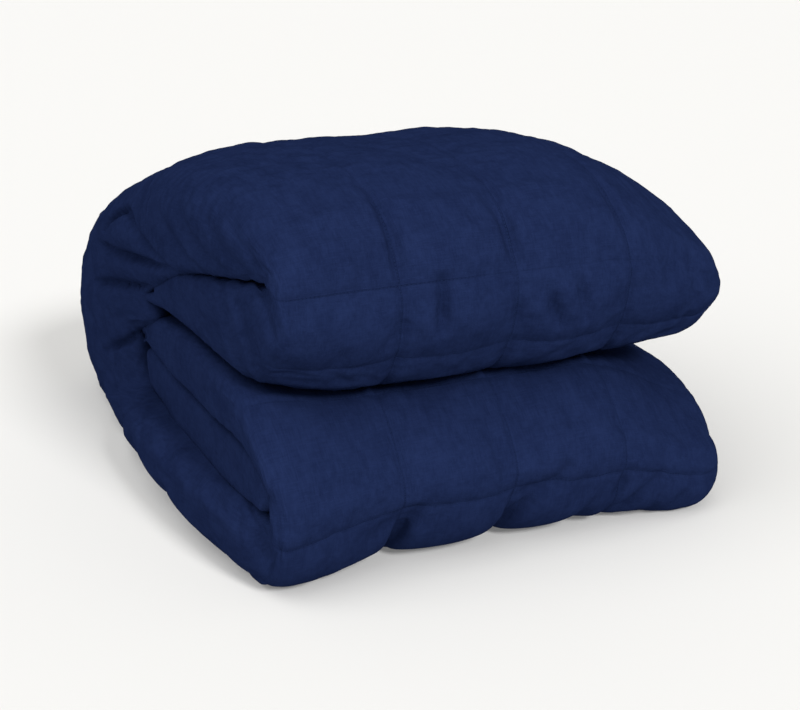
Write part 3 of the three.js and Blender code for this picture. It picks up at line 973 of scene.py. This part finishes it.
@dataclass
class FoldedBlanket:
    """The folded blanket: one filled, quilted cloth."""

    quilting: Quilting = field(default_factory=Quilting)
    finish: NavyCloth = field(default_factory=NavyCloth)
    filling: Filling = field(default_factory=Filling)
    node: str = "blanket"
    name: str = "quilted_blanket"
    per_row: int = 16  # sections in one row of pockets
    on_seam: float = 0.01  # places nearer than this to a seam are held, in pockets
    full_puff: float = 7.0  # a pocket that stands out this far is quite free
    folds: tuple[float, float] = (-0.1, 4.25)  # past these columns the cross seams do not hold
    floor_height: float = 1.0  # places lower than this lie on the floor
    obj: bpy.types.Object | None = None

    def sections(self) -> np.ndarray:
        """Give the stations at which a section is taken."""
        phases = np.arange(0, (len(self.quilting.stations) - 1) * self.per_row + 1) / self.per_row
        s = np.interp(phases, np.arange(len(self.quilting.stations)), self.quilting.stations)
        near = np.array([0.5, 1]) * Skins.end_rounding
        return np.unique(np.concatenate([s, near, PATH.last - near]))

    def build(self) -> bpy.types.Object:
        """Build the swept body with its map and finish.

        Returns:
            The new object.
        """
        skins = Skins(self.quilting)
        section = PlySection(self.quilting, skins)
        stations = self.sections()
        x, depth, column, shown = section.loop(stations)
        points = skins.point(stations[:, None], x, depth)
        rows, columns = x.shape
        coords = ((points + SHIFT) * MM).reshape(-1, 3)
        grid = np.arange(rows * columns).reshape(rows, columns)
        a, b = grid[:-1], np.roll(grid, -1, axis=1)[:-1]
        c, d = grid[1:], np.roll(grid, -1, axis=1)[1:]
        quads = np.stack([a, c, d, b], axis=-1).reshape(-1, 4).tolist()
        faces = quads + self.cap(coords, grid[0], True) + self.cap(coords, grid[-1], False)
        mesh = bpy.data.meshes.new(self.name)
        mesh.from_pydata(coords.tolist(), [], faces)
        mesh.validate()
        self.obj = bpy.data.objects.new(self.name, mesh)
        bpy.context.scene.collection.objects.link(self.obj)
        self.mark(stations, column, shown, coords)
        self.filling.swell(self.obj, self.held(stations, x, shown, column, points))
        self.smooth()
        self.press()
        self.lay_out_map()
        mesh.materials.append(self.finish.build())
        mesh.shade_smooth()
        LOG.info("blanket: %d faces", len(mesh.polygons))
        return self.obj

    def mark(
        self, stations: np.ndarray, column: np.ndarray, shown: np.ndarray, coords: np.ndarray
    ) -> None:
        """Keep in the mesh what the needlework, the map and the finish read.

        Args:
            stations: The station of each section.
            column: The column of each place, a row for each section.
            shown: For each place of the loop, how much it shows.
            coords: All points in metres.
        """
        mesh = self.obj.data
        rows, columns = column.shape
        cross = np.repeat(PATH.read("cross", stations), columns)
        line = np.repeat(PATH.read("line", stations), columns) * self.fold_fade(column).reshape(-1)
        keep_values(mesh, "row", np.repeat(self.quilting.row_phase(stations), columns))
        keep_values(mesh, "column", column.reshape(-1))
        keep_values(mesh, "shown", np.tile(shown, rows))
        keep_values(mesh, "line", line)
        for axis in range(3):
            keep_values(mesh, f"start_{axis}", coords[:, axis] / MM)
        # a cross seam hardly shows where it does not sink, nor towards the right in the upper front
        sunk = np.interp(cross, (0.05, 0.22), (0.1, 1))
        upper = np.exp(-((np.repeat(stations, columns) - self.quilting.upper_front) ** 2))
        fade = np.interp(column.reshape(-1), (1.0, 1.5, 1.8, 2.9, 3.2), (0, 0.1, 0.6, 0.7, 0.9))
        keep_values(mesh, "cross_line", line * sunk * (1 - upper * fade))

    @staticmethod
    def fold_fade(column: np.ndarray) -> np.ndarray:
        """Say how plainly the stitched lines go on round the folds at both ends."""
        return np.interp(column, (-0.35, 0.05, 3.9, 4.4), (0.15, 1, 1, 0.4))

    def held(
        self, stations: np.ndarray, x: np.ndarray, shown: np.ndarray, column: np.ndarray, points: np.ndarray
    ) -> np.ndarray:
        """Say how firmly the stitching, the folds and the floor hold each point.

        Args:
            stations: The station of each section.
            x: The places across, a row for each section; not used.
            shown: For each place of the loop, how much it shows.
            column: The column of each place, a row for each section.
            points: All points in millimetres.

        Returns:
            From 0 to 1 for every point, in steps of a tenth.
        """
        row = self.quilting.row_phase(stations)[:, None]
        from_long = from_line(column) + FAR * past_seams(column)
        on_fold = (column < self.folds[0]) | (column > self.folds[1])
        from_cross = np.where(on_fold, 1.0, from_line(row))
        held = np.where(np.minimum(from_cross, from_long) < self.on_seam, 1.0, 0.0)
        held = np.maximum(held, np.clip(1 - PATH.read("puff", stations) / self.full_puff, 0, 1)[:, None])
        held = np.maximum(held, np.where(shown > FREE, 0.0, 1.0)[None, :])
        held = np.where(points[..., 2] < self.floor_height, 1.0, held)
        return np.round(held.reshape(-1), 1)

    def smooth(self) -> None:
        """Subdivide the mesh once and keep the result."""
        bpy.ops.object.select_all(action="DESELECT")
        self.obj.select_set(True)
        bpy.context.view_layer.objects.active = self.obj
        finer = self.obj.modifiers.new("finer", "SUBSURF")
        finer.levels = 1
        finer.render_levels = 1
        bpy.ops.object.modifier_apply(modifier=finer.name)

    def press(self) -> None:
        """Work the seams, puckers, creases and lumps into the surface."""
        mesh = self.obj.data
        points, normals = read_points(mesh), read_normals(mesh)
        values = (read_values(mesh, name) for name in ("row", "column", "shown", "line", "cross_line"))
        start = np.stack([read_values(mesh, f"start_{axis}") for axis in range(3)], axis=1)
        work = Needlework(*values, start)
        points += normals * (work.relief() * MM)[:, None]
        points[:, 2] = np.maximum(points[:, 2], 0)
        write_points(mesh, points)

    def lay_out_map(self) -> None:
        """Make the map of the flat cloth, in metres, with a seam at every tenth of a metre."""
        mesh = self.obj.data
        row, column = read_values(mesh, "row"), read_values(mesh, "column")
        corners = np.zeros(len(mesh.loops), np.int32)
        mesh.loops.foreach_get("vertex_index", corners)
        layer = mesh.uv_layers.new(name="cloth")
        flat = np.stack([column[corners], row[corners]], axis=1) * POCKET_ON_MAP
        layer.data.foreach_set("uv", flat.astype(np.float32).reshape(-1))

    def cap(self, coords: np.ndarray, ring: np.ndarray, first: bool) -> list[list[int]]:
        """Close one short hem with triangles.

        Args:
            coords: All points.
            ring: The point numbers of the section there.
            first: Whether it is the first section of the path.

        Returns:
            The triangles.
        """
        line = [Vector((coords[i][0], coords[i][2], 0)) for i in ring]
        faces = []
        for tri in tessellate_polygon([line]):
            p, q, r = (line[i] for i in tri)
            facing_up = (q - p).cross(r - p).z > 0
            order = tri if facing_up == first else tri[::-1]
            faces.append([int(ring[i]) for i in order])
        return faces


@dataclass
class Studio:
    """A pale floor, soft light from all round and the camera."""

    floor_colour: tuple[float, float, float] = (0.6, 0.597, 0.587)
    floor_glow: float = 0.15
    floor_glow_colour: tuple[float, float, float] = (1, 0.995, 0.98)
    floor_roughness: float = 0.8
    floor_size: float = 12.0  # in metres
    room_colour: tuple[float, float, float] = (1, 0.99, 0.965)
    camera_place: tuple[float, float, float] = (-520.4, -1209.9, 515.0)
    camera_turn: tuple[float, float, float] = (71.7, 0.0, -24.7)
    lens: float = 69.6
    sensor: float = 36.0
    key_height: float = 34.0  # degrees above the floor
    key_side: float = 8.0  # degrees round from the front
    key_spread: float = 14.0
    key_strength: float = 2.6
    fill_height: float = 50.0
    fill_side: float = -70.0
    fill_spread: float = 70.0
    fill_strength: float = 1.95
    room_strength: float = 0.43

    def floor(self) -> bpy.types.Object:
        """Lay the floor."""
        bpy.ops.object.select_all(action="DESELECT")
        bpy.ops.mesh.primitive_plane_add(size=self.floor_size, location=(0, 0, 0))
        floor = bpy.context.object
        floor.name = "floor"
        material = bpy.data.materials.new("pale_floor")
        material.use_nodes = True
        shader = material.node_tree.nodes["Principled BSDF"]
        shader.inputs["Base Color"].default_value = (*self.floor_colour, 1)
        shader.inputs["Roughness"].default_value = self.floor_roughness
        shader.inputs["Emission Color"].default_value = (*self.floor_glow_colour, 1)
        shader.inputs["Emission Strength"].default_value = self.floor_glow
        floor.data.materials.append(material)
        return floor

    def light(self) -> None:
        """Set the world and the soft lights."""
        world = bpy.data.worlds.new("room")
        world.use_nodes = True
        background = world.node_tree.nodes["Background"]
        background.inputs["Color"].default_value = (*self.room_colour, 1)
        background.inputs["Strength"].default_value = self.room_strength
        bpy.context.scene.world = world
        self.soft_lamp("key", self.key_height, self.key_side, self.key_spread, self.key_strength)
        self.soft_lamp("fill", self.fill_height, self.fill_side, self.fill_spread, self.fill_strength)

    def soft_lamp(self, name: str, height: float, side: float, spread: float, strength: float) -> None:
        """Add a far, soft lamp.

        Args:
            name: The lamp's name.
            height: Degrees above the floor.
            side: Degrees round from the front, towards the right.
            spread: Degrees that it covers, which softens its shadows.
            strength: How strong it is.
        """
        lamp = bpy.data.lights.new(name, "SUN")
        lamp.angle = math.radians(spread)
        lamp.energy = strength
        obj = bpy.data.objects.new(name, lamp)
        obj.rotation_euler = (math.radians(90 - height), 0, math.radians(side))
        bpy.context.scene.collection.objects.link(obj)

    def camera(self) -> None:
        """Place the camera."""
        data = bpy.data.cameras.new("camera")
        data.lens = self.lens
        data.sensor_width = self.sensor
        data.sensor_fit = "HORIZONTAL"
        obj = bpy.data.objects.new("camera", data)
        obj.location = Vector(self.camera_place) * MM
        obj.rotation_euler = [math.radians(a) for a in self.camera_turn]
        bpy.context.scene.collection.objects.link(obj)
        bpy.context.scene.camera = obj

    def build(self) -> None:
        """Make the floor, the light and the camera."""
        self.floor()
        self.light()
        self.camera()
        bpy.context.scene.view_settings.view_transform = "Standard"
        LOG.info("studio: floor, light and camera")


def main() -> None:
    """Build everything in order."""
    logging.basicConfig(level=logging.INFO, format="%(message)s")
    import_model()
    Studio().build()
    blanket = FoldedBlanket()
    piece = blanket.build()
    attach(piece, "root")
    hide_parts(blanket.node)


if __name__ == "__main__":
    main()
